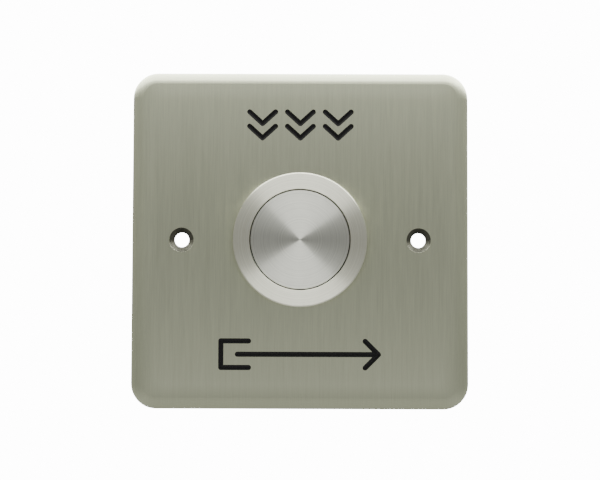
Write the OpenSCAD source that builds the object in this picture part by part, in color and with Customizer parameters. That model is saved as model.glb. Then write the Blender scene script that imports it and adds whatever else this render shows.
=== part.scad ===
// Flush push button on a square wall plate, for releasing a door or calling a crossing.
// A brushed steel plate carries a turned push-button switch that is held from behind by a nut.
// All sizes are in millimetres. +Z is up and -Y faces the person who presses the button.
// The origin is on the button's axis, in the plane of the wall that the plate's rim rests on.

/* [Face plate] */
// Width and height of the square plate
plate_w = 86; // [84:1:90]
// Distance from the wall to the plate's front face
plate_depth = 4; // [4:0.5:6]
// Thickness of the pressed sheet
sheet = 2; // [1.6:0.1:2]
// Radius of the plate's corners, seen from the front
corner_r = 6.5; // [5:0.5:9]
// Outer radius of the rolled edge
edge_r = 3; // [2.5:0.25:3.5]

/* [Fixing holes] */
// Distance between the two fixing holes
fixing_pitch = 60.3; // [59.5:0.1:62]
// Diameter of each fixing hole
fixing_d = 3.7; // [3.5:0.1:4.5]
// Diameter of each countersink at the front face
countersink_d = 6.2; // [6:0.1:6.6]

/* [Engraved marks] */
// Width of each engraved stroke
stroke_w = 1.3; // [1:0.1:1.5]
// Depth of the engraving
engrave_depth = 0.3; // [0.2:0.05:0.5]
// Height of each mark
mark_h = 8; // [7:0.5:9]
// Width of the mark above the button
press_mark_w = 27.2; // [26:0.2:32]
// Width of the mark below the button
exit_mark_w = 41.2; // [30:0.2:46]
// Distance from the button's axis up to the middle of the upper mark
press_mark_z = 29.4; // [28:0.2:31]
// Distance from the button's axis down to the middle of the lower mark
exit_mark_z = 29; // [28:0.2:31]

/* [Button head] */
// Outer diameter of the bezel
bezel_d = 34; // [33.6:0.2:36]
// Height of the bezel above its gasket
bezel_h = 2; // [1.8:0.1:3]
// Diameter of the bore that the button slides in
bore_d = 25.5; // [25.4:0.1:26]
// Gap between the button and the bore, on each side
cap_gap = 0.22; // [0.18:0.01:0.3]
// How far the button's face lies below the bezel's face
cap_recess = 0.2; // [0:0.05:0.5]
// How far the button travels when it is pressed
travel = 2.5; // [1.5:0.1:2.5]

/* [Barrel and nut] */
// Outer diameter of the threaded barrel
barrel_d = 30; // [29.6:0.1:30.4]
// Length of the barrel behind the bezel
barrel_l = 16; // [16:0.5:20]
// Size of the nut across its flats
nut_flats = 36; // [35:0.5:38]
// Thickness of the nut
nut_t = 4; // [3:0.5:5]
// Thickness of the gasket under the bezel
gasket_t = 0.6; // [0.5:0.1:1]

/* [Contacts] */
// How far the contact bridge travels between the two pairs of contacts
bridge_travel = 2; // [1.2:0.1:2]
// Distance from the button's axis to each contact
contact_x = 7.3; // [7.1:0.1:7.4]
// Distance of each terminal screw from the axis, sideways
screw_x = 5.6; // [5.4:0.1:5.8]
// Distance of each terminal screw from the axis, up or down
screw_z = 5.4; // [5.2:0.1:5.6]

/* [Hidden] */
$fn = 64;
over = 1;                                   // how far a cutter runs past the face it opens

// Depths along the button's axis, from the wall plane, growing into the wall
front = -plate_depth;                       // front face of the plate
web_back = front + sheet;                   // back face of the plate's flat web
seat = front - gasket_t;                    // underside of the bezel
head = seat - bezel_h;                      // front face of the bezel
enamel_sink = 0.06;                         // how far the enamel lies below the plate's face
barrel_end = seat + barrel_l;
washer_t = 0.8;
nut_front = web_back + washer_t;

// Button cap
cap_front = head + cap_recess;
cap_r = bore_d / 2 - cap_gap;
cap_face_t = 1.6;
cap_skirt_l = 6.8;
cap_wall = 1.68;
cap_under = cap_front + cap_face_t;
cap_end = cap_front + cap_skirt_l;
cap_boss_r = 4.2;
cap_boss_end = cap_under + 3.2;
cap_stop_gap = 0.1;                         // left between the skirt and the bulkhead when pressed
seal_at = cap_front + 3.9;                  // middle of the seal's groove
seal_groove_w = 1.4;
seal_groove_r = cap_r - 0.93;

// Barrel
bore_r = bore_d / 2;
barrel_r = barrel_d / 2;
thread_h = 0.6;                             // depth of the barrel's thread, drawn as reliefs only
bulkhead = cap_end + travel + cap_stop_gap; // front face of the wall across the barrel
bulkhead_t = 1.6;
pocket = bulkhead + bulkhead_t;             // floor of the pocket for the contact block
guide_r = 4;
ring_z = pocket + 5;                        // front face of the snap ring
ring_t = 1;
ring_out_r = bore_r + 0.5;

// Plunger
stem_r = guide_r - 0.1;
spigot_r = 2.5;
clip_t = 0.8;
clip_r = 5;
clip_groove_r = 3.1;
collar_end = pocket + clip_t + 1;
pin_r = 1.5;
pin_end = collar_end + 4.8;

// Contact block
body_r = bore_r - 0.1;
body_tail_r = bore_r - 1;
chamber_r = body_tail_r - 1.3;
chamber = pocket + 2.4;                     // front face of the contact chamber
strip_t = 0.8;
strip_w = 2.8;
pad_half = 1.6;                             // half height of each contact pad
button_t = 0.8;                             // height of each fixed silver contact
rivet_t = 0.7;                              // height of each moving silver contact
contact_r = 1.3;
bar_t = 0.8;
nc_face = chamber + strip_t + button_t;     // face of the normally closed contacts
bar_front = nc_face + rivet_t;
no_face = bar_front + bar_t + rivet_t + bridge_travel;
base_front = no_face + button_t + strip_t;  // front face of the terminal base
base_step = base_front + 1.6;
base_back = base_step + 2.4;
riser = pad_half + 0.4;                     // distance of each riser from the middle
boss_z = 8.4;                               // height of the base screws above and below the axis
barrier_h = 4;

// Springs
spring_wire_r = 0.45;
spring_r = 8.4;
contact_wire_r = 0.2;
contact_spring_r = 2.2;

// Turns a shape drawn along +Z so that it lies along the button's axis, into the wall.
module into_wall() rotate([-90, 0, 0]) children();

// A solid turned on the button's axis from [radius, depth] points.
module turned(points) rotate_extrude() polygon(points);

// Puts a copy on the left and the right.
module both_sides(x) for (side = [-1, 1]) translate([side * x, 0, 0]) children();

// Puts a copy at each of the four terminals.
module each_terminal()
    for (side = [-1, 1], row = [-1, 1]) translate([side * screw_x, row * screw_z, 0]) children();

// ---- Face plate ----

// Section through the plate's border: flat web, rolled edge and rim.
module edge_section() {
    bend = [corner_r - edge_r, front + edge_r];
    translate([0, front]) square([bend[0], sheet]);
    translate(bend) intersection() {
        difference() {
            circle(edge_r);
            circle(edge_r - sheet);
        }
        translate([0, -edge_r]) square(edge_r);
    }
    translate([corner_r - sheet, bend[1]]) square([sheet, plate_depth - edge_r]);
}

module plate_blank() {
    inner = plate_w / 2 - corner_r;
    translate([-inner, -inner, front]) cube([2 * inner, 2 * inner, sheet]);
    for (turn = [0 : 90 : 270]) rotate(turn) translate([inner, inner, 0]) {
        rotate_extrude(angle = 90) edge_section();
        rotate([90, 0, 0]) linear_extrude(2 * inner) edge_section();
    }
}

// A stroke of the engraving cutter, with round ends.
module stroke(from, to) {
    run = to - from;
    translate(from) rotate(atan2(run[1], run[0])) {
        translate([0, -stroke_w / 2]) square([norm(run), stroke_w]);
        circle(d = stroke_w);
        translate([norm(run), 0]) circle(d = stroke_w);
    }
}

// Three double chevrons that point down at the button, seen from the front.
module press_mark() {
    reach = mark_h - stroke_w;              // height between the outermost stroke centres
    half_w = 3.3;                           // half width of a chevron between stroke centres
    pitch = (press_mark_w - stroke_w) / 2 - half_w;
    row_step = 0.55 * reach;
    rise = reach - row_step;
    for (column = [-1 : 1], row = [0, 1], side = [-1, 1])
        translate([column * pitch, press_mark_z - reach / 2 + row * row_step])
            stroke([0, 0], [side * half_w, rise]);
}

// A doorway with an arrow that leaves it, seen from the front.
module exit_mark() translate([0, -exit_mark_z]) {
    half_w = (exit_mark_w - stroke_w) / 2;
    half_h = (mark_h - stroke_w) / 2;
    door_w = 7;
    stroke([-half_w, -half_h], [-half_w, half_h]);
    stroke([-half_w + 0.6 * door_w, 0], [half_w, 0]);
    for (side = [-1, 1]) {
        stroke([-half_w, side * half_h], [door_w - half_w, side * half_h]);
        stroke([half_w, 0], [half_w - half_h, side * half_h]);
    }
}

// Sinks a mark, given as seen from the front, into the plate between two depths below its face.
module sunk(from, to) translate([0, 0, front + from])
    linear_extrude(to - from) mirror([0, 1]) children();

module face_plate() color("#9a9b8d") into_wall() difference() {
    plate_blank();
    sunk(-over, engrave_depth) press_mark();
    sunk(-over, engrave_depth) exit_mark();
    translate([0, 0, front - over]) cylinder(r = barrel_r + 0.2, h = sheet + 2 * over);
    both_sides(fixing_pitch / 2) {
        translate([0, 0, front - over]) cylinder(d = fixing_d, h = sheet + 2 * over);
        // A 90 degree countersink, so its depth equals its step in radius.
        translate([0, 0, front - over]) cylinder(
            d1 = countersink_d + 2 * over, d2 = fixing_d,
            h = (countersink_d - fixing_d) / 2 + over);
    }
}

module press_mark_fill() color("#101010") into_wall()
    sunk(enamel_sink, engrave_depth) press_mark();

module exit_mark_fill() color("#101010") into_wall()
    sunk(enamel_sink, engrave_depth) exit_mark();

// ---- Barrel, gasket and nut ----

module panel_gasket() color("#1d1d1c") into_wall() translate([0, 0, seat]) difference() {
    cylinder(d = bezel_d - 0.6, h = gasket_t);
    translate([0, 0, -over]) cylinder(r = barrel_r + 0.05, h = gasket_t + 2 * over);
}

module bezel_bushing() color("#c9c9bf") into_wall() {
    edge = 0.5;                             // chamfer round the bezel
    lip = 0.12;                             // chamfer at the bore's mouth
    root = barrel_r - thread_h;
    turned([
        [bore_r + lip, head], [bezel_d / 2 - edge, head], [bezel_d / 2, head + edge],
        [bezel_d / 2, seat], [root, seat], [root, seat + 1.2],
        [barrel_r, seat + 1.2 + thread_h], [barrel_r, barrel_end - thread_h], [root, barrel_end],
        [bore_r + 0.4, barrel_end], [bore_r, barrel_end - 0.4],
        [bore_r, ring_z + ring_t], [ring_out_r, ring_z + ring_t],
        [ring_out_r, ring_z], [bore_r, ring_z],
        [bore_r, pocket], [guide_r, pocket], [guide_r, bulkhead], [bore_r, bulkhead],
        [bore_r, head + lip]
    ]);
}

module lock_washer() color("#b9b9b4") into_wall() translate([0, 0, web_back])
    linear_extrude(washer_t) {
        teeth = 20;
        difference() {
            circle(nut_flats / 2 + 1.6);
            circle(barrel_r + 1.4);
        }
        for (k = [0 : teeth - 1]) rotate(k * 360 / teeth)
            translate([barrel_r + 0.2, -0.9]) square([1.6, 1.8]);
    }

module panel_nut() color("#bfbfb8") into_wall() translate([0, 0, nut_front]) {
    corner = nut_flats / 2 / cos(30);
    flat = nut_flats / 2 - 0.4;             // radius at which the corner chamfer starts
    drop = (corner + over - flat) * tan(30);
    difference() {
        intersection() {
            cylinder(r = corner, h = nut_t, $fn = 6);
            turned([
                [0, 0], [flat, 0], [corner + over, drop],
                [corner + over, nut_t - drop], [flat, nut_t], [0, nut_t]
            ]);
        }
        translate([0, 0, -over]) cylinder(r = barrel_r, h = nut_t + 2 * over);
        for (end = [0, 1]) translate([0, 0, end * nut_t]) mirror([0, 0, end])
            translate([0, 0, -over]) cylinder(
                r1 = barrel_r + thread_h + over, r2 = barrel_r, h = thread_h + over);
    }
}

// ---- Contact block ----

module contact_body() color("#232322") into_wall() difference() {
    union() {
        difference() {
            turned([
                [clip_r + 0.4, pocket], [body_r - 0.3, pocket], [body_r, pocket + 0.3],
                [body_r, ring_z], [body_tail_r, ring_z],
                [body_tail_r, base_step], [clip_r + 0.4, base_step]
            ]);
            translate([0, 0, chamber]) cylinder(r = chamber_r, h = base_step - chamber + over);
        }
        for (row = [-1, 1]) translate([0, row * boss_z, chamber - 0.2])
            cylinder(r = 2.4, h = base_front - chamber + 0.2);
    }
    for (row = [-1, 1]) translate([0, row * boss_z, chamber + 1])
        cylinder(r = 1, h = base_step);
}

module snap_ring() color("#8f9090") into_wall() translate([0, 0, ring_z])
    linear_extrude(ring_t) difference() {
        circle(ring_out_r);
        circle(body_tail_r + 0.1);
        polygon([[0, 0], [-3.2, 20], [3.2, 20]]);
    }

module terminal_base() color("#2a2a29") into_wall() difference() {
    union() {
        turned([
            [0, base_front], [chamber_r - 0.1, base_front], [chamber_r - 0.1, base_step],
            [body_tail_r, base_step], [body_tail_r, base_back - 0.4],
            [body_tail_r - 0.4, base_back], [0, base_back]
        ]);
        translate([-1.2, -6, base_back - over]) cube([2.4, 12, barrier_h + over]);
        translate([-body_tail_r + 0.8, -1, base_back - over])
            cube([2 * body_tail_r - 1.6, 2, barrier_h + over]);
    }
    each_terminal() translate([0, 0, base_front + 0.6]) cylinder(r = 1.7, h = base_back);
    for (row = [-1, 1]) translate([0, row * boss_z, base_front - over])
        cylinder(r = 1.1, h = base_back);
    // Slots that the four terminal strips stand in.
    for (side = [-1, 1], row = [-1, 1])
        translate([side * contact_x - strip_w / 2, row * (riser + strip_t / 2) - strip_t / 2,
            base_front - over])
            cube([strip_w, strip_t, base_back]);
}

// A pan-head screw with a cross recess. Its head stands on depth 0 and its shank runs to -length.
module pan_screw(shank_r, head_r, head_h, length) difference() {
    turned([
        [0, -length], [shank_r - 0.3, -length], [shank_r, 0.4 - length], [shank_r, 0],
        [head_r, 0], [head_r, head_h * 0.45], [head_r * 0.85, head_h * 0.85],
        [head_r * 0.6, head_h], [0, head_h]
    ]);
    for (turn = [0, 90]) rotate(turn)
        translate([-head_r * 0.6, -head_r * 0.12, head_h * 0.4])
            cube([head_r * 1.2, head_r * 0.24, head_h]);
}

module base_screws() color("#8a8b8b") into_wall()
    for (row = [-1, 1]) translate([0, row * boss_z, base_back])
        pan_screw(1, 1.8, 1.3, base_back - chamber - 1.4);

module terminal_screws() color("#c2c2bb") into_wall()
    each_terminal() translate([0, 0, base_back + 2 * strip_t])
        rotate(25) pan_screw(1.5, 2.6, 1.8, 4.7);

module clamp_washers() color("#c8c6b6") into_wall()
    each_terminal() translate([0, 0, base_back + strip_t]) difference() {
        translate([-2.5, -2.5, 0]) cube([5, 5, strip_t]);
        translate([0, 0, -over]) cylinder(r = 1.5, h = strip_t + 2 * over);
    }

// A bent strip: contact pad, riser through the base, and the tab that its screw clamps.
// Side is -1 for left and 1 for right. Row is -1 for up and 1 for down.
module terminal(side, row, pad_depth) color("#c8a85a") into_wall() {
    left = side * contact_x - strip_w / 2;
    tab_in = 3;                             // inner edge of the tab
    far = row * (riser + strip_t);
    translate([left, min(-row * pad_half, far), pad_depth])
        cube([strip_w, pad_half + riser + strip_t, strip_t]);
    translate([left, min(row * riser, far), pad_depth])
        cube([strip_w, strip_t, base_back + strip_t - pad_depth]);
    translate([0, 0, base_back]) linear_extrude(strip_t) difference() {
        intersection() {
            circle(body_tail_r - 0.9);
            translate([side > 0 ? tab_in : -12, row > 0 ? riser : -8])
                square([12 - tab_in, 8 - riser]);
        }
        translate([side * screw_x, row * screw_z]) circle(1.5);
    }
}

module terminal_nc_left() terminal(-1, -1, chamber);
module terminal_nc_right() terminal(1, -1, chamber);
module terminal_no_left() terminal(-1, 1, base_front - strip_t);
module terminal_no_right() terminal(1, 1, base_front - strip_t);

// A round silver contact with a bevelled rim, its face at the top.
module silver(height) turned([
    [0, 0], [contact_r, 0], [contact_r, height - 0.25], [contact_r - 0.25, height], [0, height]
]);

module fixed_contacts() color("#d8d8d4") into_wall() both_sides(contact_x) {
    translate([0, 0, nc_face - button_t]) silver(button_t);
    translate([0, 0, no_face + button_t]) mirror([0, 0, 1]) silver(button_t);
}

// ---- Moving parts ----

module button_cap() color("#bdbdb6") into_wall() {
    edge = 0.18;
    skirt_in = cap_r - cap_wall;
    groove = [seal_at - seal_groove_w / 2, seal_at + seal_groove_w / 2];
    turned([
        [0, cap_front], [cap_r - edge, cap_front], [cap_r, cap_front + edge],
        [cap_r, groove[0]], [seal_groove_r, groove[0]], [seal_groove_r, groove[1]],
        [cap_r, groove[1]], [cap_r, cap_end - 0.3], [cap_r - 0.3, cap_end],
        [skirt_in, cap_end], [skirt_in, cap_under], [cap_boss_r, cap_under],
        [cap_boss_r, cap_boss_end], [spigot_r, cap_boss_end],
        [spigot_r, cap_under + 0.2], [0, cap_under + 0.2]
    ]);
}

module cap_seal() color("#161616") into_wall()
    translate([0, 0, seal_at]) rotate_extrude() translate([seal_groove_r + 0.55, 0]) circle(0.54);

module plunger() color("#e6e3d8") into_wall() turned([
    [0, cap_under + 0.3], [spigot_r - 0.3, cap_under + 0.3], [spigot_r, cap_under + 0.6],
    [spigot_r, cap_boss_end], [stem_r, cap_boss_end],
    [stem_r, pocket], [clip_groove_r, pocket], [clip_groove_r, pocket + clip_t],
    [stem_r, pocket + clip_t], [stem_r, collar_end], [pin_r, collar_end],
    [pin_r, pin_end - 0.4], [pin_r - 0.4, pin_end], [0, pin_end]
]);

module plunger_clip() color("#7e8082") into_wall() translate([0, 0, pocket])
    linear_extrude(clip_t) difference() {
        circle(clip_r);
        circle(clip_groove_r);
        translate([-2.4, 0]) square([4.8, clip_r + over]);
        for (turn = [180, 300, 60]) rotate(turn) translate([0, -clip_groove_r]) rotate(60)
            circle(0.7);
    }

module bridge_washer() color("#85878a") into_wall()
    translate([0, 0, bar_front + bar_t]) linear_extrude(0.5) difference() {
        circle(2.7);
        circle(pin_r);
        for (turn = [0 : 60 : 300]) rotate(turn) translate([pin_r + 0.25, -0.2]) square([0.5, 0.4]);
    }

module contact_bridge() color("#cfa95a") into_wall() translate([0, 0, bar_front])
    linear_extrude(bar_t) difference() {
        union() {
            square([2 * contact_x, 2.8], center = true);
            both_sides(contact_x) circle(1.4);
            circle(2.9);
        }
        circle(pin_r + 0.1);
        both_sides(contact_x) circle(0.7);
    }

module bridge_contacts() color("#dcdcd8") into_wall() both_sides(contact_x) {
    translate([0, 0, bar_front]) mirror([0, 0, 1]) silver(rivet_t);
    translate([0, 0, bar_front]) cylinder(r = 0.7, h = bar_t);
    translate([0, 0, bar_front + bar_t]) silver(rivet_t);
}

// A coil spring along +Z from depth 0, as one closed tube swept along its helix.
module coil_spring(coil_r, wire_r, length, turns, steps, sides) {
    rings = turns * steps;
    rise = (length - 2 * wire_r) / rings;
    // The tube's section at ring i, in the plane of the axis and the radius there.
    function ring(i) = [for (k = [0 : sides - 1])
        let (a = i * 360 / steps, b = k * 360 / sides, r = coil_r + wire_r * cos(b))
        [r * cos(a), r * sin(a), wire_r + i * rise + wire_r * sin(b)]];
    points = [for (i = [0 : rings]) each ring(i)];
    walls = [for (i = [0 : rings - 1], k = [0 : sides - 1])
        let (a = i * sides + k, b = i * sides + (k + 1) % sides)
        [a, b, b + sides, a + sides]];
    first = [for (k = [sides - 1 : -1 : 0]) k];
    last = [for (k = [0 : sides - 1]) rings * sides + k];
    polyhedron(points, concat([first], walls, [last]));
}

module return_spring() color("#9fa2a4") into_wall() translate([0, 0, cap_under])
    coil_spring(spring_r, spring_wire_r, bulkhead - cap_under, 4, 28, 8);

module contact_spring() color("#b0b2b3") into_wall() translate([0, 0, collar_end])
    coil_spring(contact_spring_r, contact_wire_r, bar_front - collar_end, 4, 20, 8);

face_plate();
press_mark_fill();
exit_mark_fill();
panel_gasket();
bezel_bushing();
lock_washer();
panel_nut();
contact_body();
snap_ring();
terminal_base();
base_screws();
terminal_nc_left();
terminal_nc_right();
terminal_no_left();
terminal_no_right();
fixed_contacts();
clamp_washers();
terminal_screws();
return_spring();
button_cap();
cap_seal();
plunger();
plunger_clip();
bridge_washer();
contact_spring();
contact_bridge();
bridge_contacts();
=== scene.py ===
import math

import bpy
import numpy as np
from mathutils import Matrix, Vector


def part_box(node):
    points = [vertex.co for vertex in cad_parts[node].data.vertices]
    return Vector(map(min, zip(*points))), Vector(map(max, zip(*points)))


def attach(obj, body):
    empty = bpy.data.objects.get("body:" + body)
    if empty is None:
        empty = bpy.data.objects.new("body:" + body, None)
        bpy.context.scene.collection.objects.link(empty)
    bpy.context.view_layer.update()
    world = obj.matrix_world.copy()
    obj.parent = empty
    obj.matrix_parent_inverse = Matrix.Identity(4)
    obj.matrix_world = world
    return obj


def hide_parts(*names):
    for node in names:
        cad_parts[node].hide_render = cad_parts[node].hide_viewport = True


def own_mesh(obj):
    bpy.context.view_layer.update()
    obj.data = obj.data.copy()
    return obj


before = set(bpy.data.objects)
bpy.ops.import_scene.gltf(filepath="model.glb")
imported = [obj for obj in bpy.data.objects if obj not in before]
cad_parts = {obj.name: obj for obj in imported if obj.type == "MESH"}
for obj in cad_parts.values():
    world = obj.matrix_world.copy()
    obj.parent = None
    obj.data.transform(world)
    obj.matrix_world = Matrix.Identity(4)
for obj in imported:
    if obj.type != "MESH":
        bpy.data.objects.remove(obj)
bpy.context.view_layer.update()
MM = 0.001

# ---- Face plate ----
# One pressing of 2 mm 304 stainless steel. The front was brushed from top to bottom on an
# abrasive belt after the edge was rolled, and the two fixing holes were then countersunk.


def linear(hex_colour):
    """An sRGB hex colour as linear RGBA."""
    channels = [int(hex_colour[i:i + 2], 16) / 255 for i in (1, 3, 5)]
    return [c / 12.92 if c <= 0.04045 else ((c + 0.055) / 1.055) ** 2.4 for c in channels] + [1]


def add(tree, kind, inputs, **settings):
    """Adds a shader node with its settings, and fills or links its inputs."""
    made = tree.nodes.new("ShaderNode" + kind)
    for key, value in settings.items():
        setattr(made, key, value)
    for key, value in inputs.items():
        if isinstance(value, bpy.types.NodeSocket):
            tree.links.new(value, made.inputs[key])
        else:
            made.inputs[key].default_value = value
    return made


def new_material(name):
    """An empty material with its node tree, and the piece's own coordinates in metres."""
    material = bpy.data.materials.new(name)
    material.use_nodes = True
    material.node_tree.nodes.clear()
    place = add(material.node_tree, "TexCoord", {}).outputs["Object"]
    return material, material.node_tree, place


def dress(node, material):
    """Puts a material in a CAD node's material slots."""
    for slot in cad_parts[node].material_slots:
        slot.material = material


# Brushed 304 stainless steel. The belt leaves scratches about 0.1 mm wide, drawn 0.25 mm wide so
# that they show. They smear reflections sideways, so the plate is soft grey and never mirrors.
scratch_scale = (1 / (0.25 * MM), 600, 1 / (7 * MM))    # across, into the sheet and along
band_scale = (1 / (0.9 * MM), 300, 1 / (24 * MM))       # groups of scratches of like depth
faint, strong = 0.3, 0.7                        # nearly all values of a noise pattern lie between
brushed_steel, tree, place = new_material("brushed_304_steel")
belt_scratch = add(tree, "Mapping", {"Vector": place, "Scale": scratch_scale})
belt_band = add(tree, "Mapping", {"Vector": place, "Scale": band_scale})
scratches = add(tree, "TexNoise", {"Vector": belt_scratch.outputs[0], "Scale": 1, "Detail": 4})
bands = add(tree, "TexNoise", {"Vector": belt_band.outputs[0], "Scale": 1, "Detail": 3})
both = add(tree, "Mix", {"Factor": 0.4, "A": scratches.outputs["Fac"], "B": bands.outputs["Fac"]},
           data_type="FLOAT")
shade = add(tree, "MapRange", {"Value": both.outputs[0], "From Min": faint, "From Max": strong})
tone = add(tree, "Mix", {"Factor": shade.outputs[0], "A": linear("#C8CCB2"),
                         "B": linear("#D6DABE")}, data_type="RGBA")
brushed_blur = add(tree, "MapRange", {"Value": both.outputs[0], "From Min": faint,
                                      "From Max": strong, "To Min": 0.28, "To Max": 0.34})

# The drill left the countersinks rough, so they are blurrier than the brushed face. Their darker
# colour is painted shade for the dark surroundings that the cones reflect.
hole_x = 60.3 / 2 * MM
drilled_r = 3.3 * MM                            # just wider than the countersink
sheet_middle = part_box("face_plate")[0].y + 1 * MM
sheet_half = 0.98 * MM                          # just less than half of the 2 mm sheet
drilled_blur = 0.72
spread = add(tree, "SeparateXYZ", {"Vector": place})
from_middle = add(tree, "Math", {0: spread.outputs["X"]}, operation="ABSOLUTE")
from_hole = add(tree, "Math", {0: from_middle.outputs[0], 1: hole_x}, operation="SUBTRACT")
hole_plane = add(tree, "CombineXYZ", {"X": from_hole.outputs[0], "Y": spread.outputs["Z"]})
hole_radius = add(tree, "VectorMath", {0: hole_plane.outputs[0]}, operation="LENGTH")
near_hole = add(tree, "Math", {0: hole_radius.outputs["Value"], 1: drilled_r}, operation="LESS_THAN")
between_faces = add(tree, "Math", {0: spread.outputs["Y"], 1: sheet_middle, 2: sheet_half},
                    operation="COMPARE")
countersink_mask = add(tree, "Math", {0: near_hole.outputs[0], 1: between_faces.outputs[0]},
              operation="MULTIPLY")
burr = add(tree, "TexNoise", {"Vector": place, "Scale": 1 / (0.6 * MM), "Detail": 4})
# Painted shade: the countersinks' dark colour, mottled at random, in place of the dark surroundings
# they reflect.
countersink_painted_shade = add(tree, "Mix", {"Factor": burr.outputs["Fac"], "A": linear("#545449"),
                         "B": linear("#77776B")}, data_type="RGBA")
colour = add(tree, "Mix", {"Factor": countersink_mask.outputs[0], "A": tone.outputs["Result"],
                           "B": countersink_painted_shade.outputs["Result"]}, data_type="RGBA")

# Handling has dulled the steel towards its edge, which spreads what the rolled edge reflects.
# Distances from the middle are along X or Z, whichever is greater, and are blended at the corners.
corner_blend = 4 * MM
worn_start, worn_end = 36.5 * MM, 43 * MM
worn_blur = 0.36
up_or_down = add(tree, "Math", {0: spread.outputs["Z"]}, operation="ABSOLUTE")
outwards = add(tree, "Math", {0: from_middle.outputs[0], 1: up_or_down.outputs[0],
                              2: corner_blend}, operation="SMOOTH_MAX")
worn = add(tree, "MapRange", {"Value": outwards.outputs[0], "From Min": worn_start,
                              "From Max": worn_end, "To Max": worn_blur})
edge_blur = add(tree, "Math", {0: brushed_blur.outputs[0], 1: worn.outputs[0]}, operation="ADD")
blur = add(tree, "Mix", {"Factor": countersink_mask.outputs[0], "A": edge_blur.outputs[0],
                         "B": drilled_blur}, data_type="FLOAT")

# The pressed sheet sags gently towards its rolled edge, by less than the roll's mesh can show.
sag_start, sag_end = 35 * MM, 41.2 * MM
sag_depth = 0.13 * MM
sag = add(tree, "MapRange", {"Value": outwards.outputs[0], "From Min": sag_start,
                             "From Max": sag_end})
fall = add(tree, "Math", {0: sag.outputs[0], 1: 3.0}, operation="POWER")
curve = add(tree, "Bump", {"Height": fall.outputs[0], "Strength": 1, "Distance": sag_depth},
            invert=True)
relief = add(tree, "Bump", {"Height": both.outputs[0], "Strength": 0.12, "Distance": 0.02 * MM,
                            "Normal": curve.outputs[0]})
across = add(tree, "CombineXYZ", {"X": 1.0})    # the scratches run along Z, so the gloss spreads on X
shader = add(tree, "BsdfPrincipled", {
    "Base Color": colour.outputs["Result"], "Metallic": 1.0, "Roughness": blur.outputs[0],
    "Anisotropic": 0.93, "Tangent": across.outputs[0], "Normal": relief.outputs[0]})
add(tree, "OutputMaterial", {"Surface": shader.outputs[0]})
dress("face_plate", brushed_steel)

# ---- Engraved marks ----
# Black stoving enamel, flooded into the routed strokes and wiped level. It shrank as it dried,
# so it sinks towards the middle of each stroke and shines.
stroke_w = 1.3 * MM


def mesh_piece(name, points, faces, material, smooth_below=35):
    """A mesh object whose edges are sharp where its faces meet at more than smooth_below degrees."""
    mesh = bpy.data.meshes.new(name)
    mesh.from_pydata([tuple(p) for p in points], [], faces)
    mesh.validate()
    mesh.shade_smooth()
    mesh.set_sharp_from_angle(angle=math.radians(smooth_below))
    mesh.materials.append(material)
    piece = bpy.data.objects.new(name, mesh)
    bpy.context.scene.collection.objects.link(piece)
    return piece


def enamel(name, strokes, front, back):
    """Fills round-ended strokes in the XZ plane with enamel that dips along their middle."""
    step = 0.1 * MM                             # of the grid that the enamel is built from
    near_rim = 0.4 * step                       # grid points this close to the rim move onto it
    radius = stroke_w / 2 + 0.01 * MM           # runs just into the steel, so no gap shows
    dip = 0.05 * MM
    starts = np.array([a for a, b in strokes])
    runs = np.array([b for a, b in strokes]) - starts

    def nearest(p):
        """Each point's distance to the closest stroke's middle line, and the place nearest there."""
        share = np.einsum("nsk,sk->ns", p[:, None] - starts, runs) / (runs ** 2).sum(1)
        foot = starts + np.clip(share, 0, 1)[..., None] * runs
        gap = np.linalg.norm(p[:, None] - foot, axis=2)
        pick = gap.argmin(1)
        rows = np.arange(len(p))
        return gap[rows, pick], foot[rows, pick]

    ends = np.concatenate([starts, starts + runs])
    low, high = ends.min(0) - radius, ends.max(0) + radius
    counts = np.ceil((high - low) / step).astype(int) + 2
    grid = np.stack(np.meshgrid(*[low[k] + step * np.arange(counts[k]) for k in (0, 1)],
                                indexing="ij"), axis=-1).reshape(-1, 2)
    index = np.arange(len(grid)).reshape(counts)
    corners = np.stack([index[:-1, :-1], index[1:, :-1], index[1:, 1:], index[:-1, 1:]], -1)
    corners = corners.reshape(-1, 4)
    gap, foot = nearest(grid)
    inside = nearest(grid[corners].mean(1))[0] < radius
    corners = corners[inside & (gap[corners] < radius + step).all(1)]
    rim = gap > radius - near_rim
    grid[rim] = foot[rim] + (grid[rim] - foot[rim]) * (radius / gap[rim])[:, None]
    gap = np.minimum(gap, radius)
    sheet = np.column_stack([grid[:, 0], front + dip * (1 - (gap / radius) ** 2), grid[:, 1]])
    floor = sheet.copy()
    floor[:, 1] = back
    size = len(grid)
    cells = corners.tolist()
    edges = {(a, b) for cell in cells for a, b in zip(cell, cell[1:] + cell[:1])}
    open_edges = sorted(edges - {(b, a) for a, b in edges})
    faces = cells + [[i + size for i in reversed(cell)] for cell in cells]
    faces += [[b, a, a + size, b + size] for a, b in open_edges]
    used = sorted({i for f in faces for i in f})
    place_of = {old: new for new, old in enumerate(used)}
    points = np.concatenate([sheet, floor])[used]
    return mesh_piece(name, points, [tuple(place_of[i] for i in f) for f in faces], black_enamel, 50)


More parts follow.
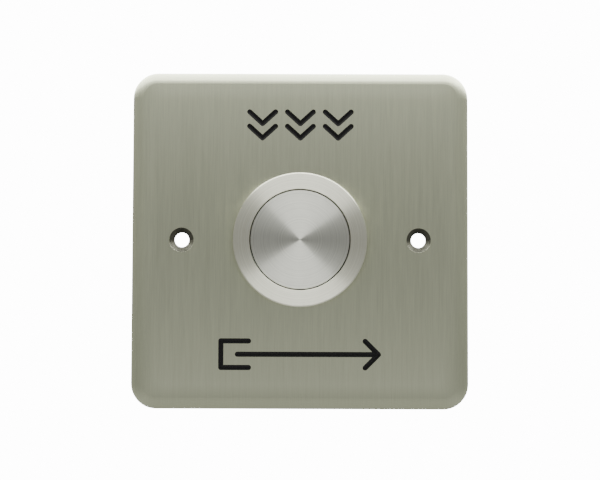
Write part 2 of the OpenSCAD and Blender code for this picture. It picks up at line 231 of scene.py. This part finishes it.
# Stoving enamel dries to a hard gloss, with a slight orange peel and a little dust in it.
black_enamel, tree, place = new_material("black_stoving_enamel")
peel = add(tree, "TexNoise", {"Vector": place, "Scale": 1 / (0.5 * MM), "Detail": 2})
dust = add(tree, "TexNoise", {"Vector": place, "Scale": 1 / (0.15 * MM), "Detail": 4})
gloss = add(tree, "MapRange", {"Value": dust.outputs["Fac"], "From Min": 0.45, "From Max": 0.75,
                               "To Min": 0.1, "To Max": 0.28})
pigment = add(tree, "Mix", {"Factor": dust.outputs["Fac"], "A": linear("#040404"),
                            "B": linear("#0C0C0C")}, data_type="RGBA")
ripple = add(tree, "Bump", {"Height": peel.outputs["Fac"], "Strength": 0.2, "Distance": 0.02 * MM})
shader = add(tree, "BsdfPrincipled", {
    "Base Color": pigment.outputs["Result"], "Roughness": gloss.outputs[0], "IOR": 1.5,
    "Specular IOR Level": 0.2, "Normal": ripple.outputs[0]})
add(tree, "OutputMaterial", {"Surface": shader.outputs[0]})


def mark_box(node):
    """The middle of a mark and its half sizes between stroke centres, in X and Z, and its depths."""
    low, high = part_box(node)
    middle = ((low + high) / 2).xz
    return middle, ((high - low) / 2).xz - Vector((stroke_w, stroke_w)) / 2, low.y, high.y


middle, half, face_y, floor_y = mark_box("press_mark_fill")
chevron = 3.3 * MM                              # half width of a chevron
row_step = 0.55 * 2 * half.y                    # the two rows overlap in height
press_strokes = []
for column in (-1, 0, 1):
    for row in (0, 1):
        tip = middle + Vector((column * (half.x - chevron), row * row_step - half.y))
        for side in (-1, 1):
            wing = tip + Vector((side * chevron, 2 * half.y - row_step))
            press_strokes.append((tuple(tip), tuple(wing)))
press_enamel = enamel("press_mark_enamel", press_strokes, face_y, floor_y)
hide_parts("press_mark_fill")
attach(press_enamel, "root")

middle, half, face_y, floor_y = mark_box("exit_mark_fill")
door_w = 7 * MM
arrow_start = 0.6 * door_w                      # the arrow begins inside the doorway
left, right = middle.x - half.x, middle.x + half.x
exit_strokes = [((left, middle.y - half.y), (left, middle.y + half.y)),
                ((left + arrow_start, middle.y), (right, middle.y))]
for side in (-1, 1):
    edge = middle.y + side * half.y
    exit_strokes.append(((left, edge), (left + door_w, edge)))
    exit_strokes.append(((right, middle.y), (right - half.y, edge)))
exit_enamel = enamel("exit_mark_enamel", exit_strokes, face_y, floor_y)
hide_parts("exit_mark_fill")
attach(exit_enamel, "root")

# ---- Gasket ----
# A flat ring of nitrile rubber, punched from sheet and squeezed between the bezel and the plate.
# Punched rubber is matt, nearly black and slightly dusty.
nitrile, tree, place = new_material("nitrile_rubber")
bloom = add(tree, "TexNoise", {"Vector": place, "Scale": 1 / (1.5 * MM), "Detail": 5})
rubber = add(tree, "Mix", {"Factor": bloom.outputs["Fac"], "A": linear("#141414"),
                           "B": linear("#2B2B2A")}, data_type="RGBA")
grain = add(tree, "TexNoise", {"Vector": place, "Scale": 1 / (0.12 * MM), "Detail": 2})
skin = add(tree, "Bump", {"Height": grain.outputs["Fac"], "Strength": 0.3, "Distance": 0.02 * MM})
shader = add(tree, "BsdfPrincipled", {
    "Base Color": rubber.outputs["Result"], "Roughness": 0.72, "IOR": 1.52,
    "Normal": skin.outputs[0]})
add(tree, "OutputMaterial", {"Surface": shader.outputs[0]})
dress("panel_gasket", nitrile)

# ---- Bezel and barrel ----
# Turned from one bar of 303 stainless steel: a flat bezel faced with a fine feed, and behind it a
# barrel with a 30 mm thread of 1.5 mm pitch, bored from both ends to leave a bulkhead.


def rounded(corners, steps=5):
    """A closed outline whose corners, given as (radius, depth, fillet), are rounded by arcs."""
    outline = []
    for k, (r, y, fillet) in enumerate(corners):
        here = Vector((r, y))
        back = (Vector(corners[k - 1][:2]) - here).normalized()
        on = (Vector(corners[(k + 1) % len(corners)][:2]) - here).normalized()
        if not fillet:
            outline.append(tuple(here))
            continue
        half_angle = back.angle(on) / 2
        centre = here + (back + on).normalized() * fillet / math.sin(half_angle)
        first = here + back * fillet / math.tan(half_angle) - centre
        last = here + on * fillet / math.tan(half_angle) - centre
        for step in range(steps + 1):
            outline.append(tuple(centre + first.slerp(last, step / steps) * fillet))
    return outline


def turned(name, outline, material, segments=160, cut=None):
    """Spins a closed outline of (radius, depth) about the Y axis. A cut may change the radius."""
    points, rings = [], []
    for r, y in outline:
        ring = []
        for k in range(segments if r > 0 else 1):
            angle = 2 * math.pi * k / segments
            radius = cut(r, y, angle) if cut else r
            ring.append(len(points))
            points.append((radius * math.sin(angle), y, radius * math.cos(angle)))
        rings.append(ring)
    faces = []
    for here, there in zip(rings, rings[1:] + rings[:1]):
        for k in range(segments):
            face = [here[k % len(here)], here[(k + 1) % len(here)],
                    there[(k + 1) % len(there)], there[k % len(there)]]
            face = list(dict.fromkeys(face))
            if len(face) > 2:
                faces.append(tuple(face))
    piece = mesh_piece(name, points, faces, material)
    flats = piece.modifiers.new("flat_faces", "WEIGHTED_NORMAL")
    flats.keep_sharp = True
    return piece


# Fine turned 303 stainless steel. The tool's feed is about 0.1 mm, drawn at 0.35 mm to show. The
# rings smear reflections outwards, which gives the bright and dark sectors of a turned face.
feed_width = 0.35 * MM


def turned_steel(name, dark, light, roughness):
    """Steel turned about the Y axis, between two colours, with a mean roughness."""
    material, tree, place = new_material(name)
    split = add(tree, "SeparateXYZ", {"Vector": place})
    flat = add(tree, "CombineXYZ", {"X": split.outputs["X"], "Y": split.outputs["Z"]})
    radius = add(tree, "VectorMath", {0: flat.outputs[0]}, operation="LENGTH")
    turns = add(tree, "Math", {0: radius.outputs["Value"], 1: 1 / feed_width},
                operation="MULTIPLY")
    feed = add(tree, "TexNoise", {"W": turns.outputs[0], "Scale": 1, "Detail": 3},
               noise_dimensions="1D")
    chatter = add(tree, "TexNoise", {"Vector": place, "Scale": 1 / (2.5 * MM), "Detail": 3})
    both = add(tree, "Mix", {"Factor": 0.25, "A": feed.outputs["Fac"], "B": chatter.outputs["Fac"]},
               data_type="FLOAT")
    shade = add(tree, "MapRange", {"Value": both.outputs[0], "From Min": faint,
                                   "From Max": strong})
    tone = add(tree, "Mix", {"Factor": shade.outputs[0], "A": linear(dark), "B": linear(light)},
               data_type="RGBA")
    blur = add(tree, "MapRange", {"Value": both.outputs[0], "From Min": faint,
                                  "From Max": strong, "To Min": roughness - 0.03,
                                  "To Max": roughness + 0.03})
    relief = add(tree, "Bump", {"Height": both.outputs[0], "Strength": 0.035,
                                "Distance": 0.02 * MM})
    outwards = add(tree, "Tangent", {}, direction_type="RADIAL", axis="Y")
    shader = add(tree, "BsdfPrincipled", {
        "Base Color": tone.outputs["Result"], "Metallic": 1.0, "Roughness": blur.outputs[0],
        "Anisotropic": 1.0, "Anisotropic Rotation": 0.25, "Tangent": outwards.outputs[0],
        "Normal": relief.outputs[0]})
    add(tree, "OutputMaterial", {"Surface": shader.outputs[0]})
    return material


bezel_steel = turned_steel("turned_303_steel_bezel", "#E4E4D1", "#F6F6E4", 0.46)
bezel_low, bezel_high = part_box("bezel_bushing")
gasket_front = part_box("panel_gasket")[0].y
bore_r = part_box("contact_body")[1].x + 0.1 * MM
barrel_r = 15 * MM
thread_depth = 0.75 * MM
thread_pitch = 1.5 * MM
thread_start = gasket_front + 1.2 * MM
root_r = barrel_r - thread_depth
guide_r = 4 * MM                                # the hole that the plunger slides in
groove_out = bore_r + 0.5 * MM
groove_start, groove_end = 9.6 * MM, 10.6 * MM  # for the snap ring
bulkhead_start, bulkhead_end = 3.0 * MM, 4.6 * MM
bezel_chamfer = 0.3 * MM
bore_chamfer = 0.4 * MM
corner = 0.12 * MM                              # left where the turned edges are broken


def barrel_thread(r, y, angle):
    """Cuts a right-hand thread where the outline is at the barrel's full radius."""
    if abs(r - barrel_r) > 0.01 * MM:
        return r
    turn = (y / thread_pitch - angle / (2 * math.pi)) % 1
    flank = min(1, max(0, (1 - abs(2 * turn - 1)) * 1.35 - 0.1))    # flat at crest and root
    room = min(1, (y - thread_start) / thread_depth, (bezel_high.y - y) / thread_depth)
    return barrel_r - thread_depth * max(1 - flank, 1 - room)


thread_rows = 110
row_rise = (bezel_high.y - thread_start) / thread_rows
bezel_outline = rounded([
    (bore_r, bezel_low.y, corner), (bezel_high.x - bezel_chamfer, bezel_low.y, corner),
    (bezel_high.x, bezel_low.y + bezel_chamfer, corner), (bezel_high.x, gasket_front, 0.1 * MM),
    (root_r, gasket_front, 0), (root_r, thread_start, 0)])
bezel_outline += [(barrel_r, thread_start + row_rise * (k + 0.5)) for k in range(thread_rows)]
bezel_outline += [
    (root_r, bezel_high.y), (bore_r + bore_chamfer, bezel_high.y),
    (bore_r, bezel_high.y - bore_chamfer),
    (bore_r, groove_end), (groove_out, groove_end), (groove_out, groove_start),
    (bore_r, groove_start),
    (bore_r, bulkhead_end), (guide_r, bulkhead_end), (guide_r, bulkhead_start),
    (bore_r, bulkhead_start)]
bezel = turned("bezel_and_threaded_barrel", bezel_outline, bezel_steel, 192, barrel_thread)
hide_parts("bezel_bushing")
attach(bezel, "root")

# ---- Lock washer and nut ----
# The washer is stamped spring steel with inward teeth, zinc plated. The nut is turned from hexagon
# bar, chamfered on both faces, and clamps the switch against the back of the plate.

# Zinc plate is a thin bluish grey coat with a faint cloudy spangle.
zinc_plate, tree, place = new_material("zinc_plated_steel")
cloud = add(tree, "TexNoise", {"Vector": place, "Scale": 1 / (2 * MM), "Detail": 6})
tint = add(tree, "Mix", {"Factor": cloud.outputs["Fac"], "A": linear("#A3A8AE"),
                         "B": linear("#C8CBCC")}, data_type="RGBA")
blur = add(tree, "MapRange", {"Value": cloud.outputs["Fac"], "To Min": 0.28, "To Max": 0.5})
pits = add(tree, "TexNoise", {"Vector": place, "Scale": 1 / (0.25 * MM), "Detail": 2})
relief = add(tree, "Bump", {"Height": pits.outputs["Fac"], "Strength": 0.2, "Distance": 0.02 * MM})
shader = add(tree, "BsdfPrincipled", {
    "Base Color": tint.outputs["Result"], "Metallic": 1.0, "Roughness": blur.outputs[0],
    "Normal": relief.outputs[0]})
add(tree, "OutputMaterial", {"Surface": shader.outputs[0]})
dress("lock_washer", zinc_plate)
nut_steel = turned_steel("machined_303_steel_nut", "#AEB0AC", "#C9CAC5", 0.3)
dress("panel_nut", nut_steel)

# ---- Contact block ----
# A moulded body slides into the barrel and is held by a snap ring. A moulded base closes it. Both
# are glass filled nylon, which is matt, slightly mottled and shows a fine spark-eroded texture. Its
# pits are about 0.05 mm wide, drawn 0.16 mm wide to show.
nylon, tree, place = new_material("glass_filled_nylon")
mottle = add(tree, "TexNoise", {"Vector": place, "Scale": 1 / (1.2 * MM), "Detail": 5})
black = add(tree, "Mix", {"Factor": mottle.outputs["Fac"], "A": linear("#121212"),
                          "B": linear("#242424")}, data_type="RGBA")
spark = add(tree, "TexVoronoi", {"Vector": place, "Scale": 1 / (0.16 * MM)})
texture = add(tree, "Bump", {"Height": spark.outputs["Distance"], "Strength": 0.35,
                             "Distance": 0.03 * MM})
matt = add(tree, "MapRange", {"Value": mottle.outputs["Fac"], "To Min": 0.45, "To Max": 0.62})
shader = add(tree, "BsdfPrincipled", {
    "Base Color": black.outputs["Result"], "Roughness": matt.outputs[0], "IOR": 1.53,
    "Normal": texture.outputs[0]})
add(tree, "OutputMaterial", {"Surface": shader.outputs[0]})


def eased(node, width, body, material):
    """Replaces a CAD node with a copy whose sharp edges are broken, so that they catch light."""
    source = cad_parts[node]
    mesh = source.data.copy()
    mesh.attributes.remove(mesh.attributes["custom_normal"])
    mesh.shade_smooth()
    mesh.materials.clear()
    mesh.materials.append(material)
    piece = bpy.data.objects.new(node + "_eased", mesh)
    piece.matrix_world = source.matrix_world
    bpy.context.scene.collection.objects.link(piece)
    weld = piece.modifiers.new("weld", "WELD")
    weld.merge_threshold = 0.001 * MM
    bevel = piece.modifiers.new("bevel", "BEVEL")
    bevel.width = width
    bevel.segments = 2
    bevel.angle_limit = math.radians(38)
    flats = piece.modifiers.new("flat_faces", "WEIGHTED_NORMAL")
    flats.keep_sharp = True
    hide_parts(node)
    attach(piece, body)


for node in ("contact_body", "terminal_base"):
    eased(node, 0.1 * MM, "root", nylon)


def marked_metal(name, dark, light, mark_size, detail, least_blur, most_blur, bump):
    """A metal whose marks change its colour, its roughness and its relief together."""
    material, tree, place = new_material(name)
    marks = add(tree, "TexNoise", {"Vector": place, "Scale": 1 / mark_size, "Detail": detail})
    colour = add(tree, "Mix", {"Factor": marks.outputs["Fac"], "A": linear(dark),
                               "B": linear(light)}, data_type="RGBA")
    blur = add(tree, "MapRange", {"Value": marks.outputs["Fac"], "To Min": least_blur,
                                  "To Max": most_blur})
    relief = add(tree, "Bump", {"Height": marks.outputs["Fac"], "Strength": bump,
                                "Distance": 0.02 * MM})
    shader = add(tree, "BsdfPrincipled", {
        "Base Color": colour.outputs["Result"], "Metallic": 1.0, "Roughness": blur.outputs[0],
        "Normal": relief.outputs[0]})
    add(tree, "OutputMaterial", {"Surface": shader.outputs[0]})
    return material


# Drawn spring steel is dull grey, with fine die marks along the wire.
spring_steel = marked_metal("drawn_spring_steel", "#6E7174", "#9A9DA0", 0.3 * MM, 4,
                            0.25, 0.42, 0.15)
dress("snap_ring", spring_steel)

# ---- Terminals and contacts ----
# Each terminal is a strip of half-hard brass, blanked and bent twice, with a silver contact
# riveted on its pad. Brass is warm yellow, tarnished unevenly by handling.
brass, tree, place = new_material("blanked_brass")
tarnish = add(tree, "TexNoise", {"Vector": place, "Scale": 1 / (1.8 * MM), "Detail": 6})
yellow = add(tree, "Mix", {"Factor": tarnish.outputs["Fac"], "A": linear("#A88543"),
                           "B": linear("#DCBC72")}, data_type="RGBA")
roll_scale = (1 / (0.15 * MM), 1 / (4 * MM), 1 / (0.15 * MM))
roll = add(tree, "Mapping", {"Vector": place, "Scale": roll_scale})
roll_marks = add(tree, "TexNoise", {"Vector": roll.outputs[0], "Scale": 1, "Detail": 2})
blur = add(tree, "MapRange", {"Value": tarnish.outputs["Fac"], "To Min": 0.22, "To Max": 0.45})
relief = add(tree, "Bump", {"Height": roll_marks.outputs["Fac"], "Strength": 0.15,
                            "Distance": 0.02 * MM})
shader = add(tree, "BsdfPrincipled", {
    "Base Color": yellow.outputs["Result"], "Metallic": 1.0, "Roughness": blur.outputs[0],
    "Normal": relief.outputs[0]})
add(tree, "OutputMaterial", {"Surface": shader.outputs[0]})
strips = ("terminal_nc_left", "terminal_nc_right", "terminal_no_left", "terminal_no_right")
for node in strips:
    eased(node, 0.08 * MM, "root", brass)

# Silver alloy is the whitest of the metals here, with a soft sheen from coining.
silver = marked_metal("coined_silver_alloy", "#CFCDC6", "#F2F0EA", 0.4 * MM, 4, 0.18, 0.35, 0.15)
dress("fixed_contacts", silver)

# ---- Terminal and base screws ----
# Pan-head steel screws with a cross recess. The terminal screws are nickel plated and clamp the
# wires under square washers. The base screws are blackened and hold the block together.

# Bright nickel plate is slightly warm and smooth, with light handling marks.
nickel = marked_metal("nickel_plated_steel", "#B5AFA2", "#D9D4C8", 0.9 * MM, 5, 0.16, 0.36, 0.12)
eased("clamp_washers", 0.08 * MM, "root", nickel)

# Blackened steel is nearly black and oily, worn back to grey in patches.
blackened = marked_metal("blackened_steel", "#3C3D3E", "#7B7C7D", 0.6 * MM, 5, 0.25, 0.45, 0.15)


def pan_screw(name, x, z, turn, head_y, tip_y, end_y, shank_r, head_r, material):
    """A pan-head screw along Y: its head stands from head_y back to end_y, its tip is at tip_y."""
    pitch = 0.35 * shank_r
    thread_h = 0.45 * pitch
    height = end_y - head_y

    def thread(r, y, angle):
        if abs(r - shank_r) > 0.001 * MM:
            return r
        phase = (y / pitch - angle / (2 * math.pi)) % 1
        room = min(1, (y - tip_y) / pitch, (head_y - y) / (0.5 * pitch))
        return r - thread_h * max(abs(2 * phase - 1), 1 - room)

    core = shank_r - 0.5 * pitch
    rows = 60
    shank = [(shank_r, tip_y + (head_y - tip_y) * (k + 0.5) / rows) for k in range(rows)]
    rim, dome = 0.42, 0.58                      # their shares of the head's height
    crown = [(head_r * math.cos(a), head_y + height * (rim + dome * math.sin(a)))
             for a in (math.radians(d) for d in range(0, 86, 6))]
    chamfer = 0.05 * MM
    outline = [(0, tip_y), (0.5 * core, tip_y), (core, tip_y + 0.3 * pitch)] + shank
    outline += [(core, head_y), (head_r - chamfer, head_y), (head_r, head_y + chamfer)]
    outline += crown + [(0, end_y)]
    screw = turned(name, outline, material, 48, thread)
    blade, reach = 0.13 * head_r, 0.58 * head_r     # half width and length of the cross's arms
    sunk, mouth = end_y - 0.75 * height, end_y + 0.1 * MM
    taper = 0.6
    arms = []
    for k in range(4):
        ahead = Matrix.Rotation(k * math.pi / 2, 2) @ Vector((0, 1))
        beside = Vector((ahead.y, -ahead.x))
        arms += [beside * blade + ahead * blade, beside * blade + ahead * reach,
                 beside * -blade + ahead * reach]
    top = [Vector((p.x, mouth, p.y)) for p in arms]
    base = [Vector((p.x * taper, sunk, p.y * taper)) for p in arms]
    number = len(arms)
    walls = [(k, (k + 1) % number, number + (k + 1) % number, number + k) for k in range(number)]
    cutter = mesh_piece("cross", top + base, walls + [tuple(range(number))[::-1],
                        tuple(range(number, 2 * number))], material)
    recess = screw.modifiers.new("recess", "BOOLEAN")
    recess.operation = "DIFFERENCE"
    recess.solver = "EXACT"
    recess.object = cutter
    bpy.context.view_layer.update()
    cut_mesh = bpy.data.meshes.new_from_object(
        screw.evaluated_get(bpy.context.evaluated_depsgraph_get()))
    screw.modifiers.clear()
    screw.data = cut_mesh
    bpy.data.objects.remove(cutter)
    screw.data.transform(Matrix.Translation((x, 0, z)) @ Matrix.Rotation(turn, 4, "Y"))
    screw.data.set_sharp_from_angle(angle=math.radians(35))
    return screw


screws_low, screws_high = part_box("terminal_screws")
washers_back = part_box("clamp_washers")[1].y
terminal_head_r = 2.6 * MM
across_x = screws_high.x - terminal_head_r
up_z = screws_high.z - terminal_head_r
for number, (side, row) in enumerate([(-1, 1), (1, 1), (-1, -1), (1, -1)], 1):
    screw = pan_screw(f"terminal_screw_{number}", side * across_x, row * up_z, 0.44 * number,
                      washers_back, screws_low.y, screws_high.y, 1.5 * MM, terminal_head_r, nickel)
    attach(screw, "root")
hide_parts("terminal_screws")

base_low, base_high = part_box("base_screws")
base_head_r = 1.8 * MM
base_head_h = 1.3 * MM
for number, row in enumerate((1, -1), 1):
    screw = pan_screw(f"base_screw_{number}", 0, row * (base_high.z - base_head_r), 0.3 * number,
                      base_high.y - base_head_h, base_low.y, base_high.y, 1 * MM, base_head_r,
                      blackened)
    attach(screw, "root")
    if number == 1:
        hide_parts("base_screws")

# ---- Springs ----
# Coiled from round spring steel wire with closed ends. The return spring stands between the cap
# and the bulkhead, and the small one presses the bridge on its contacts.


def coil(name, coil_r, wire_r, start, end, turns):
    """A right-hand compression spring about the Y axis whose end coils are closed."""
    steps, sides = 40, 12                       # around the coil and around the wire
    closed, easing = 0.8, 0.4                   # turns that lie flat, and turns that lead out of them
    flat_rise = 0.25                            # of a flat turn, where an open turn rises by 1.25
    rings = round(turns * steps)
    travel = []
    height = 0.0
    for k in range(rings + 1):
        travel.append(height)
        from_end = min(k, rings - k) / steps
        height += flat_rise + min(1, max(0, (from_end - closed) / easing))
    points, faces = [], []
    for k, rise in enumerate(travel):
        angle = 2 * math.pi * k / steps
        y = start + wire_r + (end - start - 2 * wire_r) * rise / travel[-1]
        for side in range(sides):
            lean = 2 * math.pi * side / sides
            r = coil_r + wire_r * math.cos(lean)
            points.append((r * math.sin(angle), y + wire_r * math.sin(lean), r * math.cos(angle)))
    for k in range(rings):
        for side in range(sides):
            a, b = k * sides + side, k * sides + (side + 1) % sides
            faces.append((a, a + sides, b + sides, b))
    faces.append(tuple(range(sides)))
    faces.append(tuple(reversed(range(rings * sides, (rings + 1) * sides))))
    return mesh_piece(name, points, faces, spring_steel, 60)


low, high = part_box("return_spring")
return_coil = coil("return_spring_coil", 8.4 * MM, 0.45 * MM, low.y, high.y, 5)
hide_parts("return_spring")
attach(return_coil, "root")
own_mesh(return_coil)

low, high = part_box("contact_spring")
contact_coil = coil("contact_spring_coil", 2.2 * MM, 0.2 * MM, low.y, high.y, 5)
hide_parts("contact_spring")
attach(contact_coil, "bridge")
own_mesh(contact_coil)

# ---- Button cap ----
# Turned from 303 stainless bar and faced like the bezel. A rubber ring sits in a groove round its
# skirt, and the plunger is pressed into the boss behind its face.
cap_steel = turned_steel("turned_303_steel_cap", "#C9CABF", "#D9DACF", 0.35)
cap_low, cap_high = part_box("button_cap")
seal_low, seal_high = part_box("cap_seal")
cap_r = cap_high.x
groove_middle = (seal_low.y + seal_high.y) / 2
groove_front, groove_back = groove_middle - 0.7 * MM, groove_middle + 0.7 * MM
groove_r = cap_r - 0.93 * MM
under = cap_low.y + 1.6 * MM
skirt_in = cap_r - 1.68 * MM
boss_r, boss_end = 4.2 * MM, under + 3.2 * MM
socket_r, socket_end = 2.5 * MM, under + 0.2 * MM
cap_outline = [(0, cap_low.y)] + rounded([
    (cap_r, cap_low.y, 0.16 * MM), (cap_r, groove_front, 0.05 * MM), (groove_r, groove_front, 0),
    (groove_r, groove_back, 0), (cap_r, groove_back, 0.05 * MM), (cap_r, cap_high.y, 0.25 * MM),
    (skirt_in, cap_high.y, 0.1 * MM), (skirt_in, under, 0.3 * MM), (boss_r, under, 0.3 * MM),
    (boss_r, boss_end, 0.15 * MM), (socket_r, boss_end, 0), (socket_r, socket_end, 0)
]) + [(0, socket_end)]
cap = turned("turned_button_cap", cap_outline, cap_steel, 192)
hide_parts("button_cap")
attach(cap, "button")
dress("cap_seal", nitrile)

# ---- Plunger, clip and bridge ----
# The plunger is moulded in natural acetal, which is creamy white and slightly waxy. A spring clip
# stops it behind the bulkhead. It carries a brass bridge with two silver rivets.
acetal, tree, place = new_material("moulded_acetal")
flow = add(tree, "TexNoise", {"Vector": place, "Scale": 1 / (1.5 * MM), "Detail": 4})
cream = add(tree, "Mix", {"Factor": flow.outputs["Fac"], "A": linear("#DDD9CB"),
                          "B": linear("#EFEBDF")}, data_type="RGBA")
wax = add(tree, "MapRange", {"Value": flow.outputs["Fac"], "To Min": 0.3, "To Max": 0.45})
relief = add(tree, "Bump", {"Height": flow.outputs["Fac"], "Strength": 0.1, "Distance": 0.02 * MM})
shader = add(tree, "BsdfPrincipled", {
    "Base Color": cream.outputs["Result"], "Roughness": wax.outputs[0], "IOR": 1.48,
    "Subsurface Weight": 0.1, "Subsurface Scale": 1 * MM, "Normal": relief.outputs[0]})
add(tree, "OutputMaterial", {"Surface": shader.outputs[0]})
dress("plunger", acetal)
dress("plunger_clip", spring_steel)
dress("bridge_washer", spring_steel)
eased("contact_bridge", 0.08 * MM, "bridge", brass)
dress("bridge_contacts", silver)

# ---- Studio ----
# A pale floor well below the plate, and a light tent. A ceiling of soft light, brighter towards
# the back, lies overhead. The tent's walls are dim at the height of the part and at its sides, and
# lighter above and below, which is what brushed and turned steel show.
floor_z = -0.2
floor_half = 0.6
fibre_scale = 900                               # the paper's grain is about 1.1 mm
paper, tree, place = new_material("pale_paper_sweep")
fibre = add(tree, "TexNoise", {"Vector": place, "Scale": fibre_scale, "Detail": 3})
pale = add(tree, "Mix", {"Factor": fibre.outputs["Fac"], "A": linear("#EDEDEB"),
                         "B": linear("#F4F4F2")}, data_type="RGBA")
shader = add(tree, "BsdfPrincipled", {"Base Color": pale.outputs["Result"], "Roughness": 0.9})
add(tree, "OutputMaterial", {"Surface": shader.outputs[0]})
floor = mesh_piece("studio_floor", [(x * floor_half, y * floor_half, floor_z)
                                    for x, y in ((-1, -1), (1, -1), (1, 1), (-1, 1))],
                   [(0, 1, 2, 3)], paper)
floor.visible_glossy = False

# The ceiling's strips, each from one place along Y to the next, and how brightly each glows.
ceiling_z = 0.42
ceiling_left, ceiling_right = -0.9 * ceiling_z, 1.35 * ceiling_z
ceiling_strips = ((-1.7, -1.0, 1.15), (-1.0, -0.6, 1.4), (-0.6, -0.3, 2.8), (-0.3, 0, 6.5),
                  (0, 0.3, 9), (0.3, 0.8, 12))
for number, (front, back, glow) in enumerate(ceiling_strips, 1):
    light = bpy.data.lights.new(f"overhead_strip_{number}", "AREA")
    light.shape = "RECTANGLE"
    light.size = ceiling_right - ceiling_left
    light.size_y = back - front
    light.energy = glow * math.pi * light.size * light.size_y
    strip = bpy.data.objects.new(f"overhead_strip_{number}", light)
    strip.location = ((ceiling_left + ceiling_right) / 2, (front + back) / 2, ceiling_z)
    strip.visible_camera = False
    bpy.context.scene.collection.objects.link(strip)

# The tent's brightness at each height, from -1 straight down to 1 straight up. Its dim band is
# taller at the sides, and the backdrop behind it looks white.
tent_stops = ((-1, 0.85), (-0.35, 0.82), (-0.07, 0.7), (0.02, 0.31), (0.07, 0.32), (0.17, 0.69),
              (0.25, 1))
side_start, side_end = 0.42, 0.8
side_height = 0.6
backdrop_glow = 14
world = bpy.data.worlds.new("light_tent")
world.use_nodes = True
tree = world.node_tree
tree.nodes.clear()
sky = add(tree, "TexCoord", {})
toward = add(tree, "SeparateXYZ", {"Vector": sky.outputs["Generated"]})
aside = add(tree, "Math", {0: toward.outputs["X"]}, operation="ABSOLUTE")
dim_side = add(tree, "MapRange", {"Value": aside.outputs[0], "From Min": side_start,
                                  "From Max": side_end, "To Max": side_height})
steep = add(tree, "Math", {0: toward.outputs["Z"]}, operation="ABSOLUTE")
beyond = add(tree, "Math", {0: steep.outputs[0], 1: dim_side.outputs[0]}, operation="SUBTRACT",
             use_clamp=True)
up_down = add(tree, "Math", {0: toward.outputs["Z"]}, operation="SIGN")
level = add(tree, "Math", {0: beyond.outputs[0], 1: up_down.outputs[0]}, operation="MULTIPLY")
share = add(tree, "MapRange", {"Value": level.outputs[0], "From Min": -1, "From Max": 1})
tent_shade = add(tree, "ValToRGB", {"Fac": share.outputs[0]})
ramp = tent_shade.color_ramp
while len(ramp.elements) < len(tent_stops):
    ramp.elements.new(0.5)
for stop, (up, bright) in zip(ramp.elements, tent_stops):
    stop.position = (up + 1) / 2
    stop.color = (bright, bright, bright * 0.99, 1)     # very slightly warm
seen = add(tree, "LightPath", {})
tent = add(tree, "Background", {"Color": tent_shade.outputs["Color"], "Strength": 1})
backdrop = add(tree, "Background", {"Color": (1, 1, 1, 1), "Strength": backdrop_glow})
choice = add(tree, "MixShader", {0: seen.outputs["Is Camera Ray"], 1: tent.outputs[0],
                                 2: backdrop.outputs[0]})
add(tree, "OutputWorld", {"Surface": choice.outputs[0]})
bpy.context.scene.world = world

# The camera stands straight in front, a little below the button's axis, and looks slightly up.
eye_place = Vector((0.001, -0.3535, -0.018))
aim_place = Vector((0, -0.004, 0))
eye_roll = math.radians(0.2)
camera = bpy.data.cameras.new("camera")
camera.lens = 82.6
camera.sensor_width = 36
eye = bpy.data.objects.new("camera", camera)
eye.location = eye_place
aim = aim_place - eye_place
eye.rotation_euler = (aim.to_track_quat("-Z", "Y").to_matrix()
                      @ Matrix.Rotation(eye_roll, 3, "Z")).to_euler()
bpy.context.scene.collection.objects.link(eye)
bpy.context.scene.camera = eye
